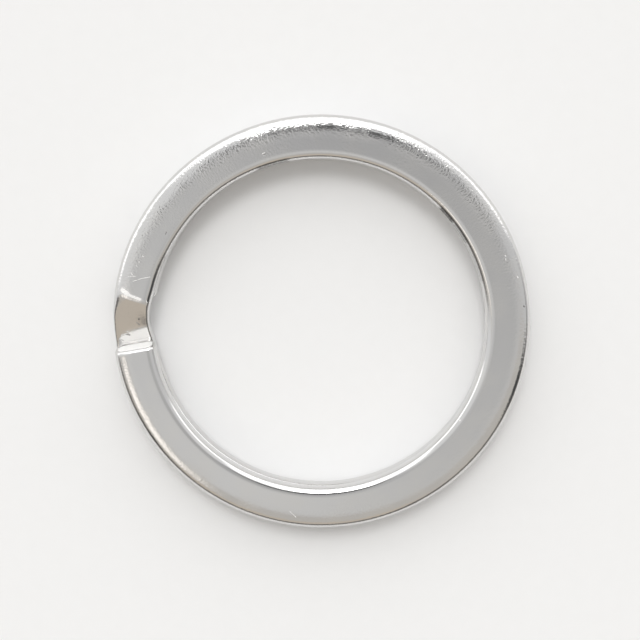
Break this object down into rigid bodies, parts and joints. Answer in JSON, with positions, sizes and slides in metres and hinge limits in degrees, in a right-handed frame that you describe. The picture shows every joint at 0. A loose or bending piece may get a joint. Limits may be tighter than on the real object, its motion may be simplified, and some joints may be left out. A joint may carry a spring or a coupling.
{
  "type": "key ring",
  "caption": "Flat split ring of one steel wire wound in two turns with a pressed step, which keys are threaded onto by prying its turns apart.",
  "frame": {"origin": "on the ring's axis, at the plane of the lower turn's underside that it rests on", "axes": "+Z along the ring's axis, from the lower turn to the upper one; -X towards the pressed step"},
  "size_m": [0.03, 0.03, 0.0028],
  "materials": {
    "nickel_plate": "bright nickel plate over tempered steel, slightly uneven from tumbling, with fine nicks"
  },
  "bodies": {
    "root": {"split_ring": "nickel_plate"}
  },
  "joints": []
}
